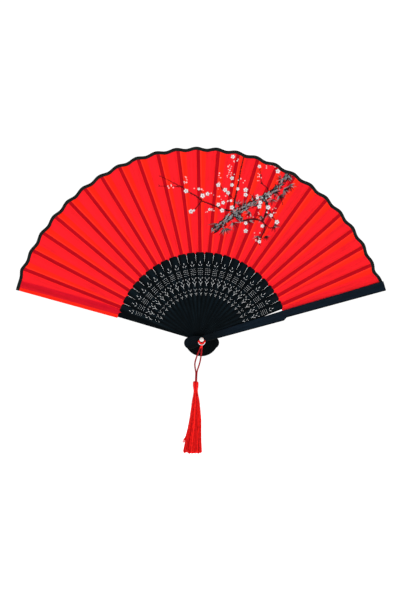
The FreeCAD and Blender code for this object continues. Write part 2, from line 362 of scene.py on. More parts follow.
def satin(name, colour_of):
    """Dyed satin: a fine weave and faint streaks along the radius, over the colour it is given."""
    material = new_material(name, 0.55)
    g = Graph(material)
    place = g.add("ShaderNodeUVMap", uv_map="cloth").outputs["UV"]
    axes = g.add("ShaderNodeSeparateXYZ", {"Vector": place})
    s, radius = axes.outputs["X"], axes.outputs["Y"]
    across = g.times(g.times(s, PITCH), 0.15)
    flat = g.vector(across, radius)
    streaks = g.noise(g.vector(across, g.times(radius, 0.05)), 420.0)
    blotches = g.noise(flat, 60.0)
    wave = {"Vector": flat, "Scale": 700.0, "Distortion": 0.6, "Detail": 1.0}
    warp = g.add("ShaderNodeTexWave", wave, bands_direction="X").outputs["Fac"]
    weft = g.add("ShaderNodeTexWave", wave, bands_direction="Y").outputs["Fac"]
    weave = g.times(warp, weft)
    tone = g.math("ADD", g.ramp(streaks, 0.3, 0.7, 0.86, 1.06), g.ramp(blotches, 0.3, 0.7, -0.05, 0.04))
    tone = g.math("ADD", tone, g.ramp(weave, 0.0, 1.0, -0.03, 0.04))
    shade = g.add("ShaderNodeCombineColor", {0: tone, 1: tone, 2: tone}).outputs[0]
    g.give("Base Color", g.mix(1.0, colour_of(g, s, radius), shade, "MULTIPLY"))
    g.give("Roughness", g.ramp(streaks, 0.3, 0.7, 0.5, 0.64))
    g.give("Specular IOR Level", 0.05)
    g.give("Sheen Weight", 0.03)
    g.give("Sheen Roughness", 0.4)
    g.give("Sheen Tint", (1.0, 0.4, 0.35, 1))
    g.bump(g.math("ADD", weave, g.times(streaks, 1.5)), 0.25, 0.00008)
    return material


def front_dye(g, s, radius):
    """The front: painted light and shade on the two halves of each pleat, which face the light
    differently, the rib half lighter and the free half darker and cooler; painted shade deepening
    towards each valley; a faint painted highlight beside each rib; painted shade where a rib or the
    rear guard behind the cloth blocks the light coming through it; and the painting, which the mesh
    carries, on top."""
    t = g.math("FRACT", s)
    from_fold = g.times(g.times(t, radius), PITCH)
    # Painted light and shade: the rib half of each pleat lighter, the free half darker and cooler.
    colour = g.mix(g.ramp(t, 0.47, 0.53), rgba(RED_RIB_SIDE_LIT), rgba(RED_FREE_SIDE_SHADED))
    # Painted shade, deepening towards each valley fold.
    fade = g.times(g.math("PINGPONG", t, 0.5), 2.0)
    colour = g.mix(g.ramp(fade, 0.55, 1.0, 0.0, 0.25), colour, rgba((232, 20, 30)))
    # Painted shade where the rib behind the cloth blocks the light coming through it.
    rib = g.band(from_fold, 0.1 * MM, 0.4 * MM, RIB_WIDTH, RIB_WIDTH + 0.3 * MM)
    rib = g.times(rib, g.math("GREATER_THAN", s, 0.99))
    colour = g.mix(rib, colour, rgba(RED_RIB_SHADOW))
    # Painted highlight: a faint lighter line along the bend beside each rib.
    crease_highlight = g.band(from_fold, *CREASE_HIGHLIGHT)
    colour = g.mix(g.times(crease_highlight, 0.12), colour, rgba((255, 96, 90)))
    # Painted shade where the rear guard behind the first panel blocks the light coming through it.
    guard = g.times(g.band(from_fold, *GUARD_SHADOW_BAND), g.math("LESS_THAN", s, 0.99))
    colour = g.mix(g.times(guard, 0.85), colour, rgba(RED_GUARD_SHADOW))
    painted = g.add("ShaderNodeAttribute", attribute_name="painting")
    return g.mix(painted.outputs["Alpha"], colour, painted.outputs["Color"])


def back_dye(g, s, radius):
    """The back is plain, with painted shade that makes it a little darker towards the folds."""
    fade = g.math("PINGPONG", g.math("FRACT", s), 0.5)
    # Painted shade towards the folds.
    return g.mix(g.ramp(fade, 0.0, 0.2, 0.35, 0.0), rgba(RED_BACK), rgba((196, 10, 22)))


def tape_material():
    """Black ribbed binding tape."""
    material = new_material("tape_black", 0.7)
    g = Graph(material)
    place = g.add("ShaderNodeUVMap", uv_map="cloth").outputs["UV"]
    metres = (PITCH * 0.197, 1, 1)
    place = g.add("ShaderNodeVectorMath", {0: place, 1: metres}, operation="MULTIPLY").outputs[0]
    ribs = g.add("ShaderNodeTexWave", {"Vector": place, "Scale": 480.0, "Distortion": 0.4}).outputs["Fac"]
    dirt = g.ramp(g.noise(place, 150.0), 0.3, 0.7, 0.0, 0.6)
    g.give("Base Color", g.mix(dirt, rgba(TAPE_BLACK), rgba((14, 26, 23))))
    g.give("Specular IOR Level", 0.12)
    g.give("Sheen Weight", 0.02)
    g.bump(ribs, 0.5, 0.0001)
    return material


def lacquer_material(name, body, highlight_share, dark_edge=False):
    """Lacquered wood, with its grain along the piece. Radius and angle about the rivet place it,
    and stick_angle, a property of the object, says which way the piece points. A patchy painted
    highlight runs along the middle of the strip that the next stick leaves bare. The front guard's
    outer edge is darkened with painted shade, for its side in shadow, and its head is darker."""
    material = new_material(name, 0.34)
    g = Graph(material)
    axes = g.add("ShaderNodeSeparateXYZ", {"Vector": g.place()})
    x, z = axes.outputs["X"], axes.outputs["Z"]
    radius = g.math("SQRT", g.math("ADD", g.times(x, x), g.times(z, z)))
    angle = g.math("ARCTAN2", x, z)
    points = g.add("ShaderNodeAttribute", attribute_name="stick_angle", attribute_type="OBJECT")
    points = points.outputs["Fac"]
    side = g.times(radius, g.math("SINE", g.math("SUBTRACT", angle, points)))
    grain = g.noise(g.vector(side, points, g.times(radius, 0.04)), 1500.0, 5.0, 0.6)
    patches = g.ramp(g.noise(g.vector(side, points, radius), 60.0, 2.0), 0.3, 0.7, 0.2, 1.0)
    # Painted highlight: the strip that the next stick leaves uncovered is lighter along its middle,
    # in patches, as if its crowned face caught the light.
    shown = g.math("DIVIDE", g.math("ADD", side, STICK_EDGE), g.times(radius, PITCH))
    strip_highlight = g.ramp(g.math("ABSOLUTE", g.math("SUBTRACT", shown, 0.5)), 0.12, 0.42, 1.0, 0.0)
    strip_highlight = g.times(g.times(strip_highlight, patches), highlight_share)
    base = g.mix(g.ramp(grain, 0.4, 0.65), rgba(body), rgba([c * 1.4 + 2 for c in body]))
    base = g.mix(strip_highlight, base, rgba(LACQUER_HIGHLIGHT))
    if dark_edge:
        # Painted shade: darker along the front guard's outer edge, for its side in shadow.
        beside = g.math("ADD", g.ramp(radius, *GUARD_BESIDE), g.ramp(radius, *GUARD_STEP))
        outer = g.math("MINIMUM", g.ramp(radius, *GUARD_BELOW), beside)
        edge = g.ramp(g.math("SUBTRACT", outer, side), 0.6 * MM, 1.3 * MM, 0.95, 0.0)
        base = g.mix(edge, base, rgba(LACQUER_EDGE))
        base = g.mix(g.ramp(radius, 12 * MM, 40 * MM, 0.8, 0.0), base, rgba(LACQUER_EDGE))
    g.give("Base Color", base)
    g.give("Roughness", g.ramp(grain, 0.35, 0.65, 0.28, 0.44))
    g.give("Specular IOR Level", 0.05)
    g.bump(grain, 0.2, 0.0001)
    return material


def steel_material():
    """Polished steel, darkened with painted shade from just below the rivet upwards, for the upper
    part of the ring that lies in shadow behind the pearl.
    """
    material = new_material("steel_polished", 0.16, 1.0)
    g = Graph(material)
    place = g.place()
    marks = g.noise(place, 900.0, 4.0)
    clean = g.mix(g.ramp(marks, 0.4, 0.7), rgba((232, 232, 236)), rgba((196, 198, 204)))
    height = g.add("ShaderNodeSeparateXYZ", {"Vector": place}).outputs["Z"]
    # Painted shade: darker from just below the rivet upwards.
    upper_shade = g.ramp(g.math("ADD", height, g.times(marks, 0.4 * MM)), -1.7 * MM, -0.7 * MM)
    g.give("Base Color", g.mix(upper_shade, clean, rgba((34, 34, 38))))
    g.give("Roughness", g.ramp(marks, 0.3, 0.7, 0.1, 0.26))
    return material


def pearl_material():
    """A pearly ball: milky, with a soft coat and faint bands of colour."""
    material = new_material("pearl_white", 0.28)
    g = Graph(material)
    place = g.place()
    cloud = g.ramp(g.noise(place, 500.0, 2.0), 0.35, 0.65)
    g.give("Base Color", g.mix(cloud, rgba((214, 202, 190)), rgba((186, 190, 198))))
    g.give("Coat Weight", 0.7)
    g.give("Coat Roughness", 0.12)
    g.give("Subsurface Weight", 0.1)
    g.give("Subsurface Scale", 0.001)
    return material


def thread_material(name, deep, bright, twist_scale):
    """Rayon thread: its twist as fine slanting bands, and a tone that the mesh gives each strand."""
    material = new_material(name, 0.5)
    g = Graph(material)
    place = g.place()
    bands = g.add("ShaderNodeTexWave", {"Vector": place, "Scale": twist_scale, "Distortion": 1.0},
                  bands_direction="DIAGONAL").outputs["Fac"]
    tone = g.ramp(g.add("ShaderNodeAttribute", attribute_name="tone").outputs["Fac"], -1.0, 1.0)
    cloud = g.ramp(g.noise(place, 320.0, 2.0), 0.3, 0.7, -0.25, 0.25)
    base = g.mix(g.math("ADD", tone, cloud), rgba(deep), rgba(bright))
    g.give("Base Color", g.mix(g.ramp(bands, 0.0, 0.5, 0.3, 0.0), base, rgba(deep)))
    g.give("Specular IOR Level", 0.1)
    g.give("Sheen Weight", 0.03)
    g.give("Sheen Tint", (1.0, 0.4, 0.35, 1))
    g.bump(bands, 0.4, 0.0001)
    return material


# ---- the leaf's shape

def layer(k):
    """The y of the cloth where it is glued to stick k."""
    low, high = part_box(f"leaf_panel_{k:02d}")
    return (low.y + high.y) / 2


LAYERS = np.array([layer(k) for k in range(STEPS + 1)])


def place_on_fan(s, radius, y):
    """The point at s and radius on the open fan."""
    direction = FIRST + s * PITCH - np.arcsin(FOLD_OFFSET / radius)
    return np.stack([-radius * np.cos(direction), y, radius * np.sin(direction)], axis=-1)


def cloth_depth(s, radius):
    """The y of the cloth. A pleat lies flat over its rib, falls back to its valley, and comes
    forward again to just behind the next rib, where it steps round that rib's edge."""
    k = np.minimum(np.floor(s + 1e-9), STEPS).astype(int)
    t = s - k
    share = 1 - np.abs(1 - 2 * t)                       # 0 at a mountain fold, 1 at the valley
    width = share * radius * PITCH / 2                  # distance from the mountain fold
    full = radius * PITCH / 2
    flat = np.minimum(RIB_FLAT, 0.9 * full)
    slope = np.clip((width - flat) / (full - flat), 0, 1)
    depth = np.minimum(VALLEY_DEPTH, DEPTH_STEP * k) * (k < STEPS)
    depth = depth * np.clip((radius - 85 * MM) / (110 * MM), 0, 1)
    y = LAYERS[k] + depth * slope
    returning = t > 0.5
    y = np.where(returning, y - NEST * (1 - slope), y)
    step = np.clip((t - (1 - RISER)) / RISER, 0, 1)
    ahead = LAYERS[np.minimum(k + 1, STEPS)]
    return np.where(returning, y * (1 - step) + ahead * step, y)


def edge_radius(s):
    """The cloth's outer edge: scalloped by the pleats, and a little nearer to the rivet on the right."""
    course = np.interp(s, [a for a, _ in EDGE_COURSE], [b for _, b in EDGE_COURSE]) * MM
    wave = EDGE_WAVE * smooth(0.4, 1.0, s) * (1 - smooth(23.5, 24.0, s))
    return course + wave * np.cos(2 * math.pi * s)


def inner_radius(s):
    """The cloth's inner edge: it just covers the top of each shoulder, follows its round corner,
    and reaches lower between two sticks."""
    t = s - np.floor(s + 1e-9)
    from_middle = t * LEAF_IN * PITCH - FOLD_OFFSET
    past_corner = np.clip(from_middle - (SHOULDER_HALF - SHOULDER_ROUND), 0, SHOULDER_ROUND)
    corner = SHOULDER_TOP - SHOULDER_ROUND + np.sqrt(SHOULDER_ROUND ** 2 - past_corner ** 2)
    edge = np.maximum(corner - SHOULDER_OVERLAP, LEAF_IN_FREE)
    to_next_fold = (1 - t) * LEAF_IN * PITCH
    covers = SHOULDER_TOP - SHOULDER_OVERLAP
    return edge + (covers - edge) * (1 - smooth(0.5 * MM, 1.3 * MM, to_next_fold))


def leaf_columns():
    """The values of s at the mesh's columns, closer together where the painting is."""
    values = []
    for half in range(2 * STEPS + 1):
        start = half / 2
        count = COLUMNS_PAINTED if PAINTED[0] <= start < PAINTED[1] else COLUMNS_PLAIN
        values += list(start + np.arange(count) / count / 2)
        if half % 2:
            values.append(start + 0.5 - RISER)
    values.append(STEPS + 0.5)
    return np.unique(np.round(values, 6))


def hang_on_fan(piece):
    """Bakes the piece's placement into its mesh."""
    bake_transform(piece)


def add_uv(piece, s, radius):
    """The place on the leaf, s and radius, as the map called cloth."""
    layer_uv = piece.data.uv_layers.new(name="cloth")
    corner_points = np.zeros(len(piece.data.loops), np.int32)
    piece.data.loops.foreach_get("vertex_index", corner_points)
    place = np.stack([s, radius], axis=1)
    layer_uv.data.foreach_set("uv", place[corner_points].astype(np.float32).ravel())


# ---- the painting

# A plum branch in blossom, in millimetres from the rivet: (x, z) along each stroke, and the
# stroke's half width at its start and its end. A trunk also says how many brush marks build it.
TRUNKS = [
    ([(88, 169), (82, 160), (77, 154), (70, 149), (63, 145), (54, 139), (46, 136), (38, 132), (32, 129)],
     2.4, 3.6, 330),
    ([(33, 130), (26, 123), (20, 117), (11, 111)], 3.6, 3.0, 130),
    ([(34, 129), (41, 121)], 2.4, 2.8, 70),
    ([(62, 146), (66, 141), (67, 135)], 1.6, 1.2, 50),
    ([(86, 168), (92, 164)], 1.8, 1.4, 26),
]
TWIGS = [
    ([(32, 131), (22, 133), (10, 138), (0, 142), (-6, 147), (-15, 152), (-20, 156), (-28, 160), (-44, 168)],
     0.8, 0.3),
    ([(-20, 156), (-30, 157), (-44, 157)], 0.4, 0.25),
    ([(0, 142), (-3, 138), (-8, 132), (-11, 130)], 0.55, 0.3),
    ([(0, 142), (1, 147), (-1, 153)], 0.5, 0.3),
    ([(33, 134), (34, 143), (36, 152), (38, 162), (40, 174), (43, 186)], 1.0, 0.5),
    ([(34, 143), (28, 148), (22, 153), (18, 158)], 0.55, 0.3),
    ([(69, 150), (67, 155), (61, 160), (60.5, 168), (59.5, 175)], 0.7, 0.3),
    ([(41, 121), (49, 123), (55, 123), (62, 121), (65, 117), (64, 111), (61, 105), (59, 97)], 1.0, 0.4),
    ([(67, 137), (66, 130), (63, 122)], 1.1, 0.9),
    ([(67, 136), (71, 128), (74, 123), (77, 120)], 0.75, 0.4),
    ([(46, 121), (45, 115), (45, 110)], 0.45, 0.3),
    ([(76, 152), (80, 146), (83, 138)], 0.7, 0.3),
    ([(46, 137), (52, 146), (47, 151)], 0.5, 0.3),
    ([(65, 117), (70, 114), (76, 115)], 0.6, 0.3),
]
# Blossoms: x, z, radius, turn in degrees
BLOSSOMS = [
    (32, 187, 2.4, 10), (59, 177, 2.0, 30), (78, 172, 2.6, 62), (31, 165, 2.3, 40), (31, 158, 2.1, 75),
    (17, 158, 2.4, 50), (37, 154, 1.9, 20), (24, 153, 2.5, 30), (27, 150, 2.2, 80), (45, 153, 2.6, 60),
    (45, 148, 2.4, 5), (-16, 152, 2.6, 35), (-3, 154, 1.6, 12), (1, 147, 2.7, 15), (6, 149, 2.3, 65),
    (-11, 131, 2.6, 55), (-8, 132, 1.4, 0), (17, 138, 2.3, 25), (22, 140, 2.2, 70), (21, 132, 2.5, 45),
    (31, 135, 2.5, 0), (8, 133, 1.7, 66), (60, 140, 2.4, 12), (59, 136, 2.5, 48), (68, 135, 2.6, 83),
    (57, 145, 1.8, 52), (71, 127, 2.1, 33), (77, 120, 2.6, 8), (62, 116, 2.1, 72), (45, 119, 2.1, 22),
    (45, 111, 2.4, 58), (59, 100, 2.1, 42), (30, 142, 1.6, 28),
]
# Clusters of buds: x, z, how far they scatter in x and in z, how many
BUDS = [
    (-16, 164, 2, 6, 9), (18, 165, 1.5, 6, 9), (30, 174, 4, 8, 15), (35, 184, 3, 2, 5), (59, 166, 3, 4, 7),
    (63, 177, 4, 3, 5), (73, 177, 3, 2, 5), (-31, 157, 8, 2, 7), (-3, 151, 5, 4, 6), (8, 130, 5, 4, 7),
    (42, 161, 5, 4, 4), (63, 146, 8, 3, 12), (57, 103, 4, 6, 8), (71, 131, 5, 5, 9), (24, 144, 5, 4, 5),
    (14, 150, 5, 4, 5), (52, 128, 7, 4, 6),
]
# Tufts of narrow leaves: x, z, length, direction of the middle leaf in degrees, how many
TUFTS = [
    (80, 148, 8, -60, 12), (90, 158, 8, -50, 12), (72, 144, 8, -90, 10), (52, 142, 9, 30, 9),
    (82, 164, 7, 170, 8), (26, 126, 9, -60, 12), (62, 126, 8, -130, 9), (66, 106, 6, -80, 8),
    (36, 138, 8, 40, 8), (74, 150, 8, -20, 9), (84, 154, 8, -40, 14), (88, 166, 7, -20, 10),
    (73, 117, 8, -30, 12), (68, 129, 7, -80, 9), (58, 106, 7, -100, 9), (42, 134, 10, 25, 12),
    (50, 130, 8, -140, 9), (16, 119, 10, -110, 14), (24, 114, 10, -80, 14), (32, 120, 9, -75, 10),
    (76, 158, 8, -60, 10), (48, 122, 7, -60, 9),
]


def wander(x, z, size, seed):
    """Smooth noise from -1 to 1 with features of about that size, the same each run."""
    rng = np.random.default_rng(seed)
    total = np.zeros_like(x)
    for _ in range(7):
        direction = rng.uniform(0, 2 * math.pi)
        rate = 2 * math.pi / (size * rng.uniform(0.7, 1.6))
        total += np.sin(rate * (x * math.cos(direction) + z * math.sin(direction)) + rng.uniform(0, 7))
    return total / 4


def stroke_cover(x, z, path, start_half, end_half, soft=0.35):
    """How much of the brush stroke covers each point, from 0 to 1."""
    steps = np.linalg.norm(np.diff(path, axis=0), axis=1)
    along = np.concatenate([[0], np.cumsum(steps)]) / steps.sum()
    cover = np.zeros_like(x)
    for i, ((ax, az), (bx, bz)) in enumerate(zip(path, path[1:])):
        dx, dz = bx - ax, bz - az
        share = np.clip(((x - ax) * dx + (z - az) * dz) / (dx * dx + dz * dz), 0, 1)
        away = np.hypot(x - ax - share * dx, z - az - share * dz)
        half = start_half + (end_half - start_half) * (along[i] + share * (along[i + 1] - along[i]))
        cover = np.maximum(cover, 1 - smooth(half - soft / 2, half + soft / 2, away))
    return cover


class Painting:
    """Colours laid over one another at the leaf's points, whose x and z are in millimetres."""

    def __init__(self, x, z):
        self.x, self.z = x, z
        self.colour = np.zeros((len(x), 3))
        self.cover = np.zeros(len(x))

    def lay(self, cover, tone, near=slice(None)):
        """Paints tone over what is there, at the points that near picks."""
        under = self.cover[near]
        over = cover + under * (1 - cover)
        mixed = tone * cover[:, None] + self.colour[near] * (under * (1 - cover))[:, None]
        self.colour[near] = mixed / np.maximum(over, 1e-9)[:, None]
        self.cover[near] = over

    def near(self, x, z, reach):
        """The indices of the points within reach of a place."""
        return np.flatnonzero((abs(self.x - x) < reach) & (abs(self.z - z) < reach))

    def mark(self, start, end, start_half, end_half, opacity, grey):
        """One mark of the brush, from black to grey."""
        reach = max(abs(start[0] - end[0]), abs(start[1] - end[1])) + 1.5
        near = self.near(start[0], start[1], reach)
        cover = stroke_cover(self.x[near], self.z[near], [start, end], start_half, end_half, 0.4)
        self.lay(cover * opacity, linear(INK_DARK) + grey * (linear(INK_GREY) - linear(INK_DARK)), near)

    def trunk(self, path, start_half, end_half, count, seed):
        """Rough bark: marks of a dry brush that follow the path, within its width."""
        rng = np.random.default_rng(seed)
        path = np.array(path, float)
        steps = np.linalg.norm(np.diff(path, axis=0), axis=1)
        ends = np.concatenate([[0], np.cumsum(steps)])
        for n in range(count):
            along = rng.uniform(0, ends[-1])
            i = np.searchsorted(ends, along, side="right") - 1
            ahead = (path[i + 1] - path[i]) / steps[i]
            half = start_half + (end_half - start_half) * along / ends[-1]
            off = half * rng.uniform(-1, 1)
            x, z = path[i] + ahead * (along - ends[i]) + np.array((-ahead[1], ahead[0])) * off
            angle = math.atan2(ahead[1], ahead[0]) + rng.normal(0, 0.4)
            step_x, step_z = polar(rng.uniform(0.6, 2.4), angle)
            black = n % 2 == 0 or abs(off) > 0.75 * half
            self.mark((x - step_x, z - step_z), (x + step_x, z + step_z), rng.uniform(0.4, 0.75), 0.2,
                      rng.uniform(0.85, 1.0), 0.0 if black else rng.uniform(0.4, 1.0))

    def twig(self, path, start_half, end_half, seed):
        """A thin dark twig with a few thorns."""
        rough = wander(self.x, self.z, 2.2, seed)
        cover = stroke_cover(self.x + 0.3 * rough, self.z + 0.3 * rough, path, start_half, end_half)
        self.lay(cover * 0.95, linear(INK_DARK))
        rng = np.random.default_rng(seed)
        for (ax, az), (bx, bz) in zip(path, path[1:]):
            share = rng.uniform(0, 1)
            x, z = ax + share * (bx - ax), az + share * (bz - az)
            angle = math.atan2(bz - az, bx - ax) + rng.choice((-0.9, 0.9))
            step_x, step_z = polar(rng.uniform(1.2, 2.6), angle)
            self.mark((x, z), (x + step_x, z + step_z), 0.35, 0.15, 0.9, 0.0)

    def tuft(self, x, z, length, middle_deg, count, seed):
        """Narrow leaves that spread from one place."""
        rng = np.random.default_rng(seed)
        for turn in np.linspace(-65, 65, count) + rng.uniform(-6, 6, count):
            angle = math.radians(middle_deg + turn)
            reaches = rng.uniform(0.5, 3.0), length * rng.uniform(0.6, 1.0)
            start, end = (np.array((x, z)) + polar(reach, angle) for reach in reaches)
            self.mark(start, end, rng.uniform(0.4, 0.65), 0.12, rng.uniform(0.8, 1.0),
                      max(0.0, rng.uniform(-1.0, 0.8)))

    def blossom(self, x, z, radius, turn_deg):
        """Five notched petals, drawn with a fine grey line, a pink blush, and a dark eye."""
        near = self.near(x, z, radius * 1.5)
        dx, dz = self.x[near] - x, self.z[near] - z
        away = np.hypot(dx, dz) / radius
        angle = np.arctan2(dz, dx) + math.radians(turn_deg)
        middle = np.abs(np.cos(2.5 * angle))
        edge = 0.5 + 0.5 * middle ** 0.5 - 0.06 * middle ** 14
        blush = (np.clip(0.5 - away, 0, 1) + 0.3 * (1 - middle))[:, None]
        tone = linear(PETAL_WHITE) + np.clip(blush, 0, 1) * (linear(PETAL_PINK) - linear(PETAL_WHITE))
        line = np.maximum(0.9 * smooth(0.25, 0.0, middle), 0.75 * smooth(edge - 0.3, edge, away))
        stamens = 0.6 * np.abs(np.sin(5 * angle)) ** 8 * smooth(0.5, 0.3, away)
        eye = np.maximum(smooth(0.24, 0.1, away), stamens)
        tone = tone + np.maximum(line, eye)[:, None] * (linear(PETAL_LINE) - tone)
        self.lay(1 - smooth(edge - 0.09, edge + 0.09, away), tone, near)

    def buds(self, x, z, spread_x, spread_z, count, seed):
        """Small round buds, scattered about one place."""
        rng = np.random.default_rng(seed)
        for _ in range(count):
            bud_x = x + rng.uniform(-spread_x, spread_x)
            bud_z = z + rng.uniform(-spread_z, spread_z)
            radius = rng.uniform(0.3, 0.75)
            near = self.near(bud_x, bud_z, 2)
            away = np.hypot(self.x[near] - bud_x, self.z[near] - bud_z)
            cover = (1 - smooth(radius - 0.2, radius + 0.25, away)) * rng.uniform(0.55, 1.0)
            share = rng.uniform(0, 0.7)
            self.lay(cover, linear(PETAL_WHITE) * (1 - share) + linear(PETAL_PINK) * share, near)

    def paint(self):
        """Leaves first, then the branch, its buds and its blossoms; colour and cover together."""
        for i, tuft in enumerate(TUFTS):
            self.tuft(*tuft, seed=100 + i)
        for i, twig in enumerate(TWIGS):
            self.twig(*twig, seed=300 + i)
        for i, trunk in enumerate(TRUNKS):
            self.trunk(*trunk, seed=400 + i)
        for i, cluster in enumerate(BUDS):
            self.buds(*cluster, seed=200 + i)
        for blossom in BLOSSOMS:
            self.blossom(*blossom)
        return np.concatenate([self.colour, self.cover[:, None]], axis=1)


# ---- the leaf and its binding

def add_leaf():
    """One continuous pleated cloth, from the rear guard to the front guard, with a painted front,
    a plain back with fewer points, and a rim between them."""
    columns = leaf_columns()
    wide = len(columns)
    s, share = (a.ravel() for a in np.meshgrid(columns, np.linspace(0, 1, ROWS)))
    radius = inner_radius(s) + share * (edge_radius(s) - inner_radius(s))
    front = place_on_fan(s, radius, cloth_depth(s, radius))
    back_rows = np.arange(0, ROWS, BACK_ROW_STEP)
    backed = (back_rows[:, None] * wide + np.arange(wide)).ravel()
    count = len(front)
    points = np.concatenate([front, front[backed] + (0, CLOTH_THICK, 0)])
    front_faces = grid_faces(ROWS, wide)
    back_faces = [tuple(i + count for i in reversed(face)) for face in grid_faces(len(back_rows), wide)]
    last_front, last_back = (ROWS - 1) * wide, count + (len(back_rows) - 1) * wide
    rim_faces = [(c, count + c, count + c + 1, c + 1) for c in range(wide - 1)]
    rim_faces += [
        (last_front + c + 1, last_back + c + 1, last_back + c, last_front + c)
        for c in range(wide - 1)
    ]
    for i, row in enumerate(back_rows[:-1]):
        strip = range(row, row + BACK_ROW_STEP + 1)
        near, far = count + i * wide, count + (i + 1) * wide
        rim_faces.append((*[r * wide for r in reversed(strip)], near, far))
        rim_faces.append((*[r * wide + wide - 1 for r in strip], far + wide - 1, near + wide - 1))
    leaf = add_mesh("leaf", points, front_faces + back_faces + rim_faces)
    leaf.data.materials.append(satin("leaf_satin_front", front_dye))
    leaf.data.materials.append(satin("leaf_satin_back", back_dye))
    slots = np.zeros(len(leaf.data.polygons), np.int32)
    slots[len(front_faces):] = 1
    leaf.data.polygons.foreach_set("material_index", slots)
    painting = np.zeros((len(points), 4), np.float32)
    painting[:count] = Painting(front[:, 0] / MM, front[:, 2] / MM).paint()
    carried = leaf.data.color_attributes.new("painting", "FLOAT_COLOR", "POINT")
    carried.data.foreach_set("color", painting.ravel())
    all_s = np.concatenate([s, s[backed]])
    add_uv(leaf, all_s, np.concatenate([radius, radius[backed]]))
    hang_on_fan(leaf)
    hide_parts(*[f"leaf_panel_{k:02d}" for k in range(STEPS + 1)])
    return leaf


def add_binding():
    """The black tape folded over the leaf's outer edge."""
    columns = leaf_columns()
    front_half = [(-TAPE_IN, -TAPE_HALF * 0.6), (-TAPE_IN, -TAPE_HALF), (TAPE_OUT * 0.6, -TAPE_HALF)]
    back_half = [(out, -off) for out, off in reversed(front_half)]
    section = [*front_half, (TAPE_OUT, 0.0), *back_half]
    s = np.repeat(columns, len(section))
    out = np.tile([a for a, _ in section], len(columns))
    off = np.tile([b for _, b in section], len(columns))
    radius = edge_radius(s) + out
    points = place_on_fan(s, radius, cloth_depth(s, np.minimum(radius, edge_radius(s))) + off)
    tape = add_mesh("leaf_binding", points, grid_faces(len(columns), len(section)), True)
    add_uv(tape, s, radius)
    tape.data.materials.append(tape_material())
    hang_on_fan(tape)
    return tape


# ---- the tassel

def add_cord(name, node, material):
    """One strand of the tassel's cord, as a smooth spline along its route."""
    curve = bpy.data.curves.new(name, "CURVE")
    curve.dimensions = "3D"
    curve.bevel_depth = CORD_DIAMETER / 2
    curve.bevel_resolution = 4
    curve.resolution_u = 16
    spline = curve.splines.new("NURBS")
    route = CORD_ROUTES[name]
    spline.points.add(len(route) - 1)
    for point, (x, y, z) in zip(spline.points, route):
        point.co = (x * MM, RING_Y + y * MM, z * MM, 1)
    spline.order_u = 3
    spline.use_endpoint_u = True
    curve.materials.append(material)
    cord = bpy.data.objects.new(name, curve)
    bpy.context.scene.collection.objects.link(cord)
    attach(cord, "tassel")
    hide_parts(node)
    x, y, z = route[0]


def tube(points, radius, sides, aside=(0.0, 1.0, 0.0)):
    """The points and faces of a tube along a path that never runs along aside, with closed ends."""
    path = np.array(points, float)
    ahead = np.gradient(path, axis=0)
    ahead /= np.linalg.norm(ahead, axis=1)[:, None]
    across = np.cross(ahead, aside)
    across /= np.linalg.norm(across, axis=1)[:, None]
    up = np.cross(across, ahead)
    radii = np.broadcast_to(radius, len(path))
    rings = [
        p + r * (math.cos(a) * u + math.sin(a) * w)
        for p, r, u, w in zip(path, radii, across, up)
        for a in np.arange(sides) * 2 * math.pi / sides
    ]
    faces = grid_faces(len(path), sides, closed=True)
    last = (len(path) - 1) * sides
    faces.append(tuple(range(sides))[::-1])
    faces.append(tuple(range(last, last + sides)))
    return rings, faces


def join_tubes(name, tubes, material, tones):
    """One piece from many tubes; tones gives each its place between the thread's two colours."""
    points, faces, point_tones = [], [], []
    for (tube_points, tube_faces), tone in zip(tubes, tones):
        offset = len(points)
        points += tube_points
        faces += [tuple(i + offset for i in face) for face in tube_faces]
        point_tones += [tone] * len(tube_points)
    piece = add_mesh(name, points, faces, True)
    piece.data.attributes.new("tone", "FLOAT", "POINT").data.foreach_set("value", point_tones)
    piece.data.materials.append(material)
    return piece


def rounded(points, passes=2):
    """The path with its corners cut, twice as many points at each pass."""
    points = np.array(points, float)
    for _ in range(passes):
        a, b = points[:-1], points[1:]
        cut = np.stack([0.75 * a + 0.25 * b, 0.25 * a + 0.75 * b], axis=1).reshape(-1, points.shape[1])
        points = np.concatenate([points[:1], cut, points[-1:]])
    return points


def strand(points, sides=10):
    """A tube through (x, y from the ring's plane, z, radius) points, in millimetres."""
    path = rounded(points)
    return tube(path[:, :3] * MM + (0, RING_Y, 0), path[:, 3] * MM, sides)


def skirt_at(z):
    """The skirt's centre x, half width and half depth at a height, in millimetres."""
    table = np.array(SKIRT_SECTIONS)[::-1]
    left, right, deep = (np.interp(z, table[:, 0], table[:, i]) for i in (1, 2, 3))
    return (left + right) / 2, (right - left) / 2, deep


